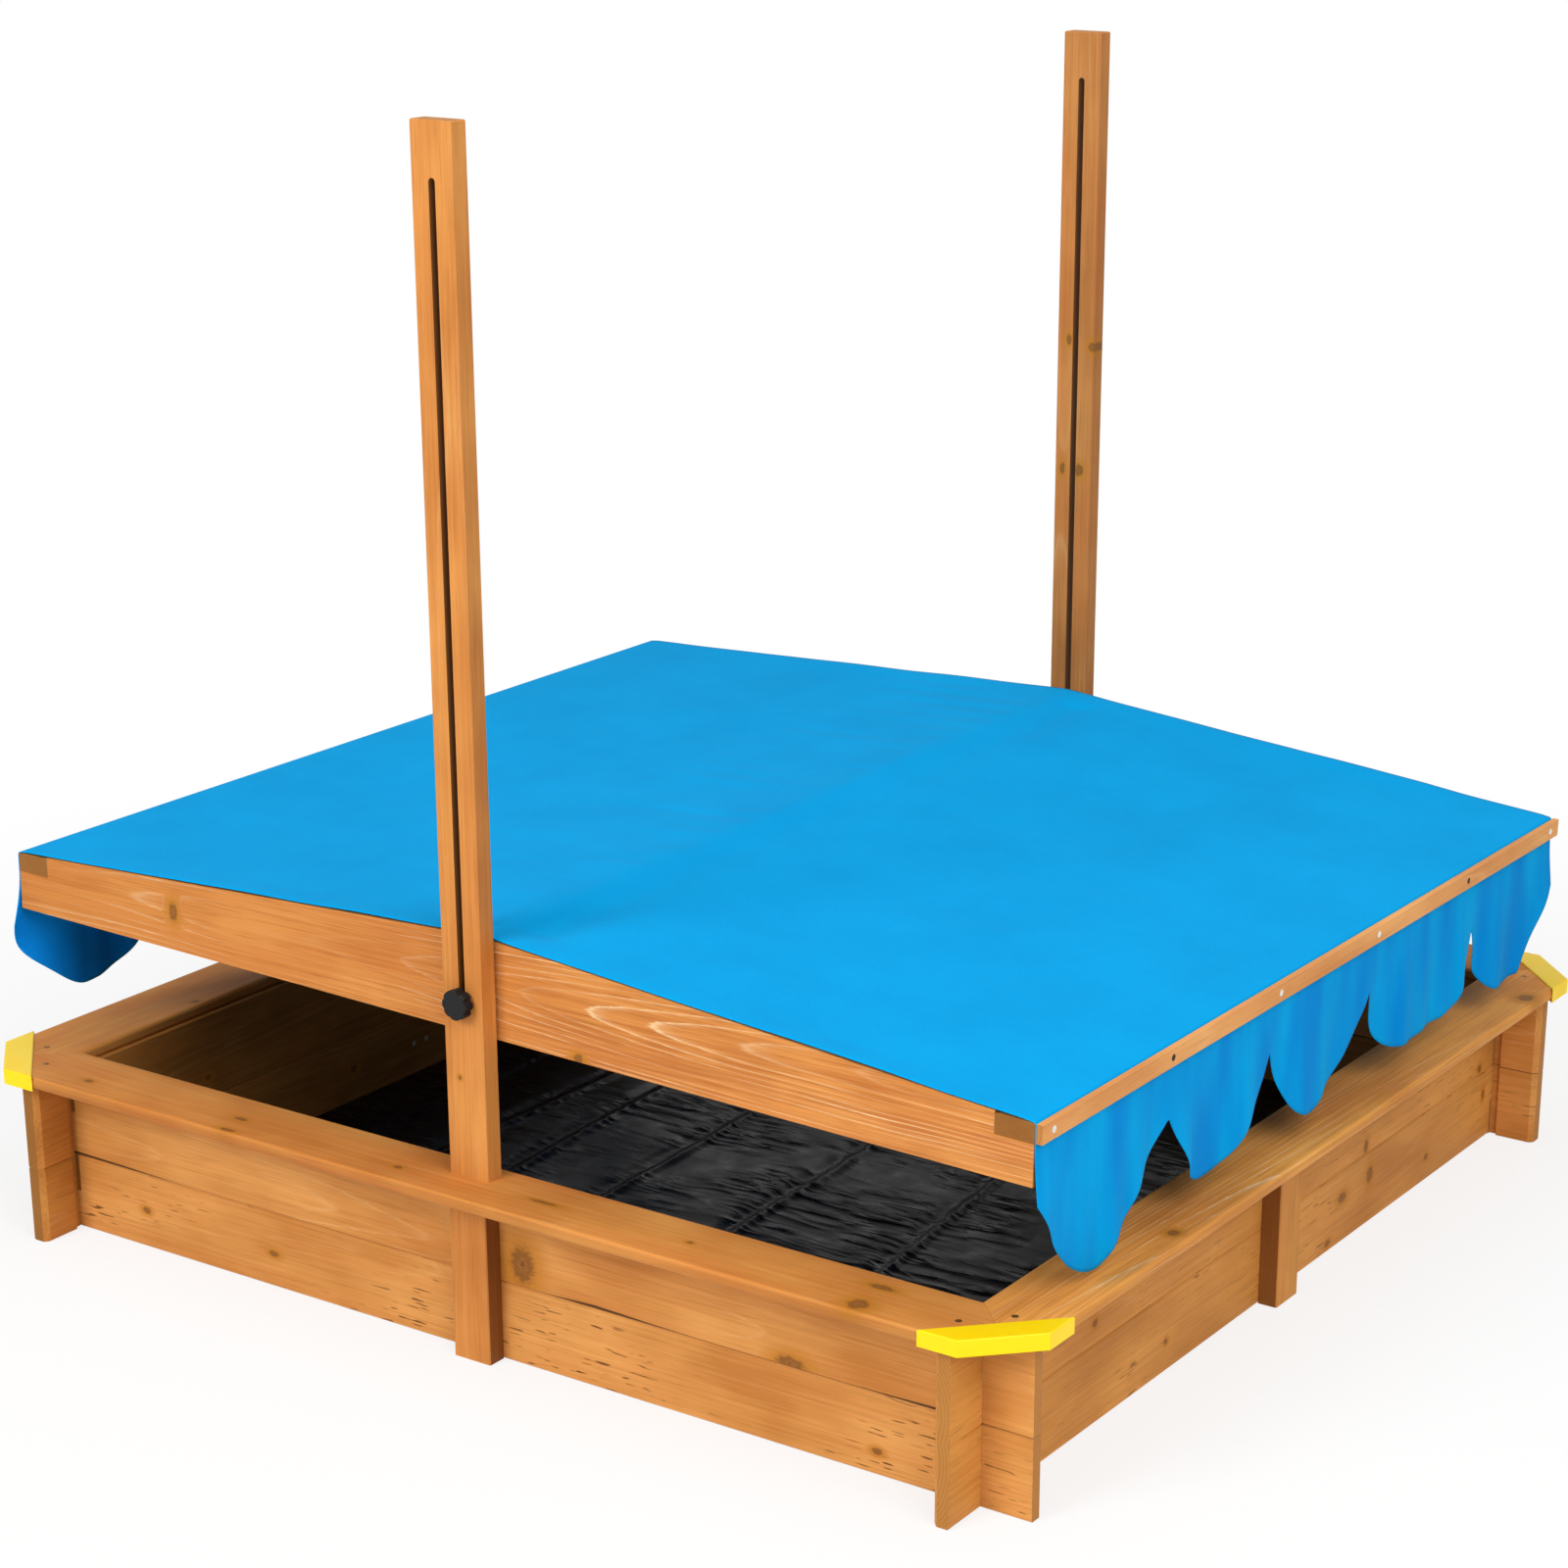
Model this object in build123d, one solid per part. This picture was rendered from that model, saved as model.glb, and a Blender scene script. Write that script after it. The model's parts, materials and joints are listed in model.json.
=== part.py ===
from build123d import *
import math
import os

# Sandbox with a height-adjustable, tilting canopy. Millimetres, +Z up.
# The origin is on the ground, under the middle of the sandbox.
# +X runs along the near wall, +Y along the ridge of the roof, from the near mast to the far one.
# Every piece is built square to the axes. The roof is then turned a little about its bolts.

# ---------------------------------------------------------------- driving dimensions
seat_length = 1200.0        # over the seat boards, along X
seat_depth = 1150.0         # over the seat boards, along Y
seat_width = 79.0           # one seat board, across
seat_thickness = 12.0
seat_round = 4.0            # rounding of the long edges
corner_cut = 54.0           # cut off each outer corner, along the edge

seat_overhang_x = 66.0      # seat edge beyond the outer face of the left and right walls
seat_overhang_y = 59.5      # seat edge beyond the outer face of the near and far walls
plank_thickness = 17.0
lower_plank_height = 77.0
upper_plank_height = 90.0
plank_edge = 1.2            # chamfer along the planks
tail_length = 50.0          # plank past the crossing
tail_chamfer = 5.0          # on the inward edge of a tail's end
relief_width = 9.0          # groove beside the crossing, on the tail's inward side
relief_depth = 5.0

mast_width = 44.0
mast_thickness = 20.0
mast_inset = 4.5            # mast's inner face, in from the outer face of the wall below it
mast_height = 1105.0
mast_edge = 2.0
slot_play = 1.0             # slot wider than the clamp bolt
slot_spare = 3.0            # slot below the bolt at its lowest
slot_top = 1059.0
post_width = 42.0
post_thickness = 20.0
tenon_width = 30.0          # mast's foot, through the seat board and down into its post
tenon_thickness = 12.0
tenon_length = 60.0         # below the seat board

sheet_thickness = 1.0

cap_wall = 1.4
cap_reach = 38.0            # how far a cap runs along the seat edge, past the cut corner
cap_lip = 11.0              # width of the cap's rim under the seat, along the cut corner
cap_flange = 5.0            # and along the seat's edges
cap_round = 0.9

bolt_height = 346.5         # clamp bolt above the ground, roof at its lowest
bolt_radius = 3.0
bolt_head_radius = 8.0
bolt_head_height = 3.6
washer_radius = 9.0
washer_thickness = 1.6
spacer_thickness = 1.6
knob_radius = 14.0
knob_thickness = 10.0
knob_lobes = 8
knob_scallop = 3.4          # radius of the hollows between the lobes
knob_dome = 1.5

roof_lean = 1.23            # degrees, the right side hangs lower
rail_length = 1150.0
rail_thickness = 18.0
rail_end_height = 56.0
rail_peak_height = 93.0
rail_below_bolt = 37.5      # bolt above the rail's lower edge
bar_width = 38.0
bar_height = 18.0
ridge_width = 18.0
ridge_height = 38.0
ridge_drop = 1.5            # ridge bar below the rails' peaks
cloth_thickness = 1.0
batten_thickness = 6.0
batten_height = 17.0
batten_overrun = 3.0        # batten past the roof's far face
valance_drop = 132.0        # from the batten's lower edge to a scallop's tip
valance_notch = 50.0        # from the batten's lower edge to the top of a notch
scallops = 5
valance_thickness = 1.0

screw_head_radius = 3.2
screw_head_height = 1.6
screw_radius = 2.0
batten_screws = 6
batten_screw_near = 18.0    # first screw from the batten's near end
batten_screw_far = 19.0     # last screw from the batten's far end
seat_screw_bite = 33.0      # screw past the piece that its head is in
wall_screw_bite = 14.0
bar_screw_bite = 27.0
ridge_screw_bite = 40.0
batten_screw_bite = 16.0

fit = 0.3                   # gap between pieces that slide, turn or slip together
joint_gap = 0.2             # gap in the half-laps and under the caps

# ---------------------------------------------------------------- derived places
half_x = seat_length / 2
half_y = seat_depth / 2
wall_x = half_x - seat_overhang_x
wall_y = half_y - seat_overhang_y
wall_height = lower_plank_height + upper_plank_height
seat_top = wall_height + seat_thickness
inner_x = wall_x - plank_thickness
inner_y = wall_y - plank_thickness
mast_back = wall_y - mast_inset
mast_front = mast_back + mast_thickness
slot_width = 2 * bolt_radius + slot_play
slot_bottom = bolt_height - bolt_radius - slot_spare
post_front = wall_y + post_thickness
tenon_middle = (mast_front + wall_y) / 2
rail_outer = mast_back - spacer_thickness - 2 * fit
rail_inner = rail_outer - rail_thickness
rail_bottom = bolt_height - rail_below_bolt
rail_end_top = rail_bottom + rail_end_height
rail_peak = rail_bottom + rail_peak_height
bar_bottom = rail_end_top - bar_height
half_rail = rail_length / 2
cloth_gap = fit
batten_inner = half_rail + 2 * cloth_gap + cloth_thickness
valance_top = rail_end_top - batten_height


def block(x0, x1, y0, y1, z0, z1):
    """A box between two corners."""
    return Pos((x0 + x1) / 2, (y0 + y1) / 2, (z0 + z1) / 2) * Box(x1 - x0, y1 - y0, z1 - z0)


def prism(points, plane, amount):
    """A closed outline on a plane, pushed along the plane's normal."""
    return extrude(plane * make_face(Polyline(*points, close=True)), amount=amount)


def mirror_x(shape):
    """The same piece on the other side, left for right."""
    return mirror(shape, about=Plane.YZ)


def mirror_y(shape):
    """The same piece on the other side, near for far."""
    return mirror(shape, about=Plane.XZ)


def cylinder_y(x, z, y0, y1, radius):
    """A round bar along Y."""
    return Pos(x, (y0 + y1) / 2, z) * Rot(90, 0, 0) * Cylinder(radius, abs(y1 - y0))


def tilted(shape):
    """A roof piece, turned by the lean about the clamp bolts."""
    return Pos(0, 0, bolt_height) * Rot(0, roof_lean, 0) * Pos(0, 0, -bolt_height) * shape


# ---------------------------------------------------------------- walls
def plank(half_length, outer_face, crossing, bottom, height, notch_above):
    """A wall plank along X, with its outer face towards -Y and a half-lap near each end.

    crossing is the outer face of the wall it crosses; notch_above opens the laps upwards.
    """
    inner_face = outer_face - plank_thickness
    top = bottom + height
    edge = plank_edge
    section = [
        (-outer_face, bottom + edge), (-outer_face, top - edge),
        (-outer_face + edge, top), (-inner_face - edge, top),
        (-inner_face, top - edge), (-inner_face, bottom + edge),
        (-inner_face - edge, bottom), (-outer_face + edge, bottom),
    ]
    body = Pos(-half_length, 0, 0) * prism(section, Plane.YZ, 2 * half_length)
    lap = height / 2 + joint_gap / 2
    lap_bottom = top - lap if notch_above else bottom - 1
    lap_top = top + 1 if notch_above else bottom + lap
    for side in (-1, 1):
        x_in = side * (crossing - plank_thickness - joint_gap)
        x_out = side * (crossing + joint_gap)
        body -= block(min(x_in, x_out), max(x_in, x_out), -outer_face - 1, -inner_face + 1, lap_bottom, lap_top)
        # groove beside the crossing, on the side that faces the neighbouring wall
        g0 = side * crossing
        g1 = side * (crossing + relief_width)
        body -= block(min(g0, g1), max(g0, g1), -inner_face - relief_depth, -inner_face + 1, bottom - 1, top + 1)
        end = side * half_length
        corner = [
            (end + side, -inner_face - tail_chamfer - 1), (end + side, -inner_face + 1),
            (end - side * (tail_chamfer + 1), -inner_face + 1),
        ]
        body -= Pos(0, 0, bottom - 1) * prism(corner, Plane.XY, height + 2)
    return body


def near_plank(bottom, height):
    return plank(wall_x + tail_length, wall_y, wall_x, bottom, height, True)


def left_plank(bottom, height):
    """Built like a near plank, then turned a quarter, so its outer face looks to -X."""
    straight = plank(wall_y + tail_length, wall_x, wall_y, bottom, height, False)
    return Rot(0, 0, -90) * straight


# ---------------------------------------------------------------- seat boards
def seat_board(half_length, outer_edge):
    """A seat board along X, with its outer edge towards -Y, mitred at both ends."""
    inner_edge = outer_edge - seat_width
    gap = joint_gap / 2
    half_inner = half_length - seat_width
    section = make_face(Polyline(
        (-outer_edge, wall_height), (-inner_edge, wall_height),
        (-inner_edge, seat_top), (-outer_edge, seat_top), close=True))
    section = fillet(section.vertices(), seat_round)
    bar = Pos(-half_length, 0, 0) * extrude(Plane.YZ * section, amount=2 * half_length)
    outline = [
        (-half_length + corner_cut, -outer_edge - 1), (half_length - corner_cut, -outer_edge - 1),
        (half_length - corner_cut, -outer_edge),
        (half_length - corner_cut / 2 - gap, -outer_edge + corner_cut / 2 - gap),
        (half_inner - gap, -inner_edge), (half_inner - gap, -inner_edge + 1),
        (-half_inner + gap, -inner_edge + 1), (-half_inner + gap, -inner_edge),
        (-half_length + corner_cut / 2 + gap, -outer_edge + corner_cut / 2 - gap),
        (-half_length + corner_cut, -outer_edge),
    ]
    return bar & (Pos(0, 0, wall_height - 1) * prism(outline, Plane.XY, seat_thickness + 2))


def near_seat_board():
    """The mast's tenon passes down through a mortise in it."""
    return seat_board(half_x, half_y) - tenon(joint_gap)


def left_seat_board():
    return Rot(0, 0, -90) * seat_board(half_y, half_x)


# ---------------------------------------------------------------- corner caps
def cap_outline(grow, back):
    """Plan of the near right corner, grown outwards, closed by a diagonal behind it."""
    x = half_x + grow
    y = -half_y - grow
    cut = corner_cut + grow * (2 - math.sqrt(2))
    return [
        (half_x - corner_cut - back, y), (x - cut, y),
        (x, y + cut), (x, -half_y + corner_cut + back),
    ]


def near_right_corner_cap():
    """A moulded cap that slips over the cut corner: top plate, outer wall and a rim below."""
    low = wall_height - joint_gap - cap_wall
    high = seat_top + joint_gap + cap_wall
    shell = Pos(0, 0, low) * prism(cap_outline(joint_gap + cap_wall, cap_reach), Plane.XY, high - low)
    upright = shell.edges().filter_by(Axis.Z).filter_by(
        lambda e: e.center().X - e.center().Y > half_x + half_y - corner_cut)
    shell = fillet(upright, cap_wall)
    shell = chamfer(shell.faces().sort_by(Axis.Z)[-1].edges(), cap_round)
    pocket = Pos(0, 0, wall_height - joint_gap) * prism(
        cap_outline(joint_gap, cap_reach + 30), Plane.XY, seat_thickness + 2 * joint_gap)
    # under the seat only a rim is left, so the cap clears the plank tails
    keep = half_x + half_y - corner_cut - cap_lip * math.sqrt(2)
    x = half_x - cap_flange
    y = -half_y + cap_flange
    below = [(keep + y, y), (x, x - keep), (x, y + 2 * half_y), (-x, y + 2 * half_y), (-x, y)]
    under = Pos(0, 0, low - 1) * prism(below, Plane.XY, cap_wall + 1)
    return shell - pocket - under


# ---------------------------------------------------------------- masts and posts
def tenon(gap):
    """The near mast's foot, or with a gap the mortise that it fits."""
    half_width = tenon_width / 2 + gap
    half_thickness = tenon_thickness / 2 + gap
    return block(-half_width, half_width, -tenon_middle - half_thickness, -tenon_middle + half_thickness,
                 wall_height - tenon_length - gap, seat_top + gap)


def near_mast():
    """An upright that stands on the seat, with a long slot for the clamp bolt and a tenon below."""
    body = block(-mast_width / 2, mast_width / 2, -mast_front, -mast_back, seat_top, mast_height)
    body = chamfer(body.edges().filter_by(Axis.Z), mast_edge / 2)
    body = chamfer(body.faces().sort_by(Axis.Z)[-1].edges(), mast_edge / 2)
    half_slot = slot_width / 2
    lower_end = slot_bottom + half_slot
    upper_end = slot_top - half_slot
    slot = block(-half_slot, half_slot, -mast_front - 1, -mast_back + 1, lower_end, upper_end)
    for end in (lower_end, upper_end):
        slot += cylinder_y(0, end, -mast_front - 1, -mast_back + 1, half_slot)
    return body + tenon(0) - slot


def near_centre_post():
    """The post under a mast, against the wall, with a mortise in its top."""
    body = block(-post_width / 2, post_width / 2, -post_front, -wall_y, 0, wall_height)
    return chamfer(body.edges().filter_by(Axis.Z), mast_edge / 2) - tenon(joint_gap)


def right_centre_post():
    body = block(wall_x, wall_x + post_thickness, -post_width / 2, post_width / 2, 0, wall_height)
    return chamfer(body.edges().filter_by(Axis.Z), mast_edge / 2)


def ground_sheet():
    """The sheet that lies on the ground inside the walls."""
    x = inner_x - joint_gap
    y = inner_y - joint_gap
    return block(-x, x, -y, y, 0, sheet_thickness)


# ---------------------------------------------------------------- fasteners
def screw_down(x, y, z, length):
    """A countersunk screw, driven down, with its head flush at z."""
    head = Pos(x, y, z - screw_head_height / 2) * Cone(
        screw_radius, screw_head_radius, screw_head_height)
    shank = Pos(x, y, z - length / 2) * Cylinder(screw_radius, length)
    return head + shank


def seated(screw, axis, angle, place):
    """The same screw, laid over to another direction at a place."""
    return Pos(*place) * Rotation(**{axis: angle}) * screw


def seat_screw_places():
    """Two at each corner, over the tails of both planks."""
    x_tail = wall_x + tail_length / 2
    y_tail = wall_y + tail_length / 2
    x_plank = wall_x - plank_thickness / 2
    y_plank = wall_y - plank_thickness / 2
    near_right = [(x_tail, -y_plank), (x_plank, -y_tail)]
    return [(sx * x, sy * y) for sx in (-1, 1) for sy in (-1, 1) for x, y in near_right]


def wall_screw_places():
    """(x, y, z, axis, angle) from inside through each plank into its centre post."""
    places = []
    heights = (lower_plank_height / 2, lower_plank_height + upper_plank_height / 2)
    offset = post_width / 4
    for z in heights:
        for side in (-1, 1):
            places.append((side * offset, -inner_y, z, "X", -90))
            places.append((side * offset, inner_y, z, "X", 90))
            places.append((-inner_x, side * offset, z, "Y", 90))
            places.append((inner_x, side * offset, z, "Y", -90))
    return places


def drill(shape, screw_list):
    """Cuts the screws' holes out of a piece."""
    for screw in screw_list:
        shape = shape - screw
    return shape


# ---------------------------------------------------------------- clamp bolts and knobs
def near_washer():
    y0 = -mast_front - fit - washer_thickness
    y1 = -mast_front - fit
    return cylinder_y(0, bolt_height, y0, y1, washer_radius) - cylinder_y(
        0, bolt_height, y0 - 1, y1 + 1, bolt_radius + fit)


def near_spacer():
    y0 = -mast_back + fit
    y1 = -rail_outer - fit
    return cylinder_y(0, bolt_height, y0, y1, washer_radius) - cylinder_y(
        0, bolt_height, y0 - 1, y1 + 1, bolt_radius + fit)


def knob_back():
    """Distance from the middle of the sandbox to the back of a knob."""
    return mast_front + washer_thickness + 2 * fit


def near_bolt():
    """A carriage bolt from inside the rail, through the mast's slot, into the knob."""
    tip = -knob_back() - knob_thickness * 2 / 3
    shaft = cylinder_y(0, bolt_height, tip, -rail_inner, bolt_radius)
    head = cylinder_y(0, bolt_height, -rail_inner, -rail_inner + bolt_head_height, bolt_head_radius)
    return shaft + chamfer(head.faces().sort_by(Axis.Y)[-1].edges(), bolt_head_height / 3)


def near_knob():
    """A star knob with a blind hole for the bolt."""
    back = -knob_back()
    front = back - knob_thickness
    body = cylinder_y(0, bolt_height, front, back, knob_radius)
    body = fillet(body.faces().sort_by(Axis.Y)[0].edges(), knob_dome)
    for i in range(knob_lobes):
        angle = math.radians(360 / knob_lobes * (i + 0.5))
        reach = knob_radius + knob_scallop * 0.45
        body -= cylinder_y(reach * math.cos(angle), bolt_height + reach * math.sin(angle),
                           front - 1, back + 1, knob_scallop)
    return body - cylinder_y(0, bolt_height, back - knob_thickness * 2 / 3 - fit, back + 1, bolt_radius + fit)


# ---------------------------------------------------------------- roof
def rail_outline():
    """A gable rail seen from the front, notched at its top corners for the cross-bars."""
    inner = half_rail - bar_width
    rise = (rail_peak - rail_end_top) / half_rail
    inner_top = rail_end_top + rise * bar_width
    return [
        (-half_rail, rail_bottom), (half_rail, rail_bottom), (half_rail, bar_bottom),
        (inner, bar_bottom), (inner, inner_top), (0, rail_peak), (-inner, inner_top),
        (-inner, bar_bottom), (-half_rail, bar_bottom),
    ]


def near_rail():
    return Pos(0, -rail_inner, 0) * prism(rail_outline(), Plane.XZ, rail_thickness)


def rail_hole():
    """The bolt's hole through both rails."""
    return cylinder_y(0, bolt_height, -rail_outer - 1, rail_outer + 1, bolt_radius)


def right_cross_bar():
    return block(half_rail - bar_width, half_rail, -rail_outer, rail_outer, bar_bottom, rail_end_top)


def ridge_bar():
    top = rail_peak - ridge_drop
    body = block(-ridge_width / 2, ridge_width / 2, -rail_inner, rail_inner, top - ridge_height, top)
    upper = body.faces().sort_by(Axis.Z)[-1].edges().filter_by(Axis.Y)
    return fillet(upper, ridge_width / 4)


def cloth_line(lift):
    """The canopy's line in section, from one valance over the ridge to the other."""
    x = half_rail + lift
    return [(-x, valance_top), (-x, rail_end_top + lift), (0, rail_peak + lift), (x, rail_end_top + lift),
            (x, valance_top)]


def canopy_cloth():
    inner = cloth_line(cloth_gap)
    outer = cloth_line(cloth_gap + cloth_thickness)
    return Pos(0, rail_outer, 0) * prism(outer + inner[::-1], Plane.XZ, 2 * rail_outer)


def right_batten():
    return block(batten_inner, batten_inner + batten_thickness, -rail_outer, rail_outer + batten_overrun,
                 valance_top, rail_end_top)


def batten_screw_places():
    first = -rail_outer + batten_screw_near
    last = rail_outer + batten_overrun - batten_screw_far
    pitch = (last - first) / (batten_screws - 1)
    x = batten_inner + batten_thickness
    z = (valance_top + rail_end_top) / 2
    return [(x, first + pitch * i, z) for i in range(batten_screws)]


def right_valance():
    """A scalloped strip of cloth that hangs from under the batten."""
    pitch = 2 * rail_outer / scallops
    x = half_rail + cloth_gap
    top = valance_top - fit
    notch = valance_top - valance_notch
    tip = valance_top - valance_drop
    strip = block(x, x + valance_thickness, -rail_outer, rail_outer, notch, top)
    for i in range(scallops):
        middle = -rail_outer + pitch * (i + 0.5)
        ellipse = Ellipse(pitch / 2 - fit, notch - tip)
        leaf = Pos(x, middle, notch) * extrude(Plane.YZ * ellipse, amount=valance_thickness)
        strip += leaf & block(x, x + valance_thickness, middle - pitch / 2, middle + pitch / 2, tip - 1, notch + 1)
    return strip


def roof_screw_places():
    """(x, y, z) of the screws down through the cross-bars into both rails."""
    x = half_rail - bar_width / 2
    y = rail_inner + rail_thickness / 2
    return [(sx * x, sy * y, rail_end_top) for sx in (-1, 1) for sy in (-1, 1)]


# ---------------------------------------------------------------- all pieces
def pair(near, names):
    """A piece and its mirror image across the middle, under two names."""
    return {names[0]: near, names[1]: mirror_y(near)}


def walls():
    pieces = {}
    for level, bottom, height in (("lower", 0, lower_plank_height),
                                  ("upper", lower_plank_height, upper_plank_height)):
        near = near_plank(bottom, height)
        left = left_plank(bottom, height)
        pieces[f"near_{level}_plank"] = near
        pieces[f"far_{level}_plank"] = mirror_y(near)
        pieces[f"left_{level}_plank"] = left
        pieces[f"right_{level}_plank"] = mirror_x(left)
    return pieces


def seats():
    near = near_seat_board()
    left = left_seat_board()
    right_cap = near_right_corner_cap()
    left_cap = mirror_x(right_cap)
    return {
        "near_seat_board": near, "far_seat_board": mirror_y(near),
        "left_seat_board": left, "right_seat_board": mirror_x(left),
        "near_right_corner_cap": right_cap, "far_right_corner_cap": mirror_y(right_cap),
        "near_left_corner_cap": left_cap, "far_left_corner_cap": mirror_y(left_cap),
    }


def uprights():
    pieces = pair(near_mast(), ("near_mast", "far_mast"))
    pieces.update(pair(near_centre_post(), ("near_centre_post", "far_centre_post")))
    right = right_centre_post()
    pieces["right_centre_post"] = right
    pieces["left_centre_post"] = mirror_x(right)
    return pieces


def clamps():
    pieces = pair(near_washer(), ("near_knob_washer", "far_knob_washer"))
    pieces.update(pair(near_spacer(), ("near_spacer_washer", "far_spacer_washer")))
    pieces.update(pair(near_bolt(), ("near_clamp_bolt", "far_clamp_bolt")))
    pieces.update(pair(near_knob(), ("near_star_knob", "far_star_knob")))
    return pieces


def roof():
    rail = near_rail() - rail_hole()
    bar = right_cross_bar()
    valance = right_valance()
    pieces = pair(rail, ("near_gable_rail", "far_gable_rail"))
    pieces.update({
        "right_cross_bar": bar, "left_cross_bar": mirror_x(bar),
        "ridge_bar": ridge_bar(), "canopy_cloth": canopy_cloth(),
        "right_batten": right_batten(),
        "right_valance": valance, "left_valance": mirror_x(valance),
    })
    return pieces


def screws():
    """Groups of like screws, each group in one node."""
    seat = [screw_down(x, y, seat_top, seat_thickness + seat_screw_bite) for x, y in seat_screw_places()]
    plain = screw_down(0, 0, 0, plank_thickness + wall_screw_bite)
    wall = [seated(plain, axis, angle, (x, y, z)) for x, y, z, axis, angle in wall_screw_places()]
    bar = [screw_down(x, y, z, bar_height + bar_screw_bite) for x, y, z in roof_screw_places()]
    ridge_one = screw_down(0, 0, 0, rail_thickness + ridge_screw_bite)
    ridge_z = rail_peak - ridge_drop - ridge_height / 2
    ridge = [seated(ridge_one, "X", 90, (0, -rail_outer, ridge_z)),
             seated(ridge_one, "X", -90, (0, rail_outer, ridge_z))]
    batten_one = screw_down(0, 0, 0, batten_thickness + batten_screw_bite)
    batten = [seated(batten_one, "Y", 90, place) for place in batten_screw_places()]
    return {"seat_screws": seat, "wall_screws": wall, "roof_screws": bar + ridge, "batten_screws": batten}


screwed = {
    "seat_screws": ("seat_board", "plank"),
    "wall_screws": ("plank", "mast", "centre_post"),
    "roof_screws": ("gable_rail", "cross_bar", "ridge_bar"),
    "batten_screws": ("batten", "cross_bar", "canopy_cloth"),
}
roof_words = ("gable_rail", "cross_bar", "ridge_bar", "canopy_cloth", "right_batten", "valance")
roof_groups = ("roof_screws", "batten_screws")


def near_enough(a, b):
    """Whether two pieces' boxes meet."""
    p = a.bounding_box()
    q = b.bounding_box()
    return all(lo <= hi for lo, hi in (
        (p.min.X, q.max.X), (q.min.X, p.max.X), (p.min.Y, q.max.Y),
        (q.min.Y, p.max.Y), (p.min.Z, q.max.Z), (q.min.Z, p.max.Z)))


def assemble():
    pieces = {}
    for group in (walls, seats, uprights, clamps, roof):
        pieces.update(group())
    pieces["ground_sheet"] = ground_sheet()
    for group_name, group in screws().items():
        for name in list(pieces):
            if any(name.endswith(word) for word in screwed[group_name]):
                pieces[name] = drill(pieces[name], [s for s in group if near_enough(pieces[name], s)])
        if group_name in roof_groups:
            group = [tilted(s) for s in group]
        pieces[group_name] = Compound([s.solid() for s in group])
    for name in pieces:
        if any(word in name for word in roof_words):
            pieces[name] = tilted(pieces[name])
    return pieces


def write(pieces):
    os.makedirs("parts", exist_ok=True)
    for name, piece in pieces.items():
        export_step(piece, f"parts/{name}.step")


write(assemble())
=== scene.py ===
import json
import math
import bpy
import numpy as np
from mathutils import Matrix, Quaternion, Vector


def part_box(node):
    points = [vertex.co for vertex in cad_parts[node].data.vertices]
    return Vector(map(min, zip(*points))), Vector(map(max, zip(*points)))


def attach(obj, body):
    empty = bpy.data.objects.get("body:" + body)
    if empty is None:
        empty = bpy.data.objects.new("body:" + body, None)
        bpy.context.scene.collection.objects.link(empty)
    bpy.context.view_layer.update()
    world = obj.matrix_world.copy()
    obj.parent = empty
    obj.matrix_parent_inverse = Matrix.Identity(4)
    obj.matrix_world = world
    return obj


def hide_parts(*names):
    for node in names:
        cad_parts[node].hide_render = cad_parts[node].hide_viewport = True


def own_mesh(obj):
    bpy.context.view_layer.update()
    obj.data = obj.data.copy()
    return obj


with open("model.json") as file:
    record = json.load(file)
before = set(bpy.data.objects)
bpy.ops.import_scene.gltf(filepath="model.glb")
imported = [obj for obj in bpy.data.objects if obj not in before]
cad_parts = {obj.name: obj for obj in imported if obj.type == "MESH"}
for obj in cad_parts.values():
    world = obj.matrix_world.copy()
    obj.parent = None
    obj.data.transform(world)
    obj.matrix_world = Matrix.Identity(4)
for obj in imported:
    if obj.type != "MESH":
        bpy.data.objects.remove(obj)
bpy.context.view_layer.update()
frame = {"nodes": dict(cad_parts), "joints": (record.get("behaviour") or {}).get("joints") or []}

# A wooden sandbox with a bench round it and a gabled cloth roof between two slotted masts.
# Metres, +Z up, +X along the near wall, +Y along the roof's ridge.

MM = 0.001

# ---------------------------------------------------------------- sizes the cloth and sheet follow
near_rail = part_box("near_gable_rail")
sheet_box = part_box("ground_sheet")
joint_places = {joint["name"]: joint for joint in frame["joints"]}
bolt_height = joint_places["roof_tilt"]["pos_m"][2]
roof_lean = math.radians(1.23)          # right side hangs lower
half_roof = 575 * MM                    # half the rails' length
rail_face = -near_rail[0].y             # outer faces of both rails
rail_below_bolt = 37.5 * MM
rail_end_height = 56 * MM
rail_peak_height = 93 * MM
eave_height = bolt_height - rail_below_bolt + rail_end_height
peak_height = bolt_height - rail_below_bolt + rail_peak_height
batten_height = 17 * MM
valance_top = eave_height - batten_height


# ---------------------------------------------------------------- small tools
def linear(code):
    """An sRGB hex colour, such as C98A45, as linear red, green, blue and alpha."""
    values = [int(code[i:i + 2], 16) / 255 for i in (0, 2, 4)]
    return [v / 12.92 if v <= 0.04045 else ((v + 0.055) / 1.055) ** 2.4 for v in values] + [1.0]


def add(tree, kind, inputs=(), out=0, stops=(), **settings):
    """Adds a shader node with its input values or links, settings and ramp stops, and returns one output."""
    node = tree.nodes.new("ShaderNode" + kind)
    for key, value in settings.items():
        setattr(node, key, value)
    for key, value in dict(inputs).items():
        if isinstance(value, bpy.types.NodeSocket):
            tree.links.new(value, node.inputs[key])
        else:
            node.inputs[key].default_value = value
    if stops:
        ramp = node.color_ramp
        while len(ramp.elements) < len(stops):
            ramp.elements.new(0.5)
        for element, (place, colour) in zip(ramp.elements, stops):
            element.position = place
            element.color = linear(colour) if isinstance(colour, str) else (colour,) * 3 + (1.0,)
    return node.outputs[out] if node.outputs else node


def maths(tree, operation, *values):
    """One sum on up to three numbers or links."""
    return add(tree, "Math", dict(enumerate(values)), operation=operation)


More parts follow.
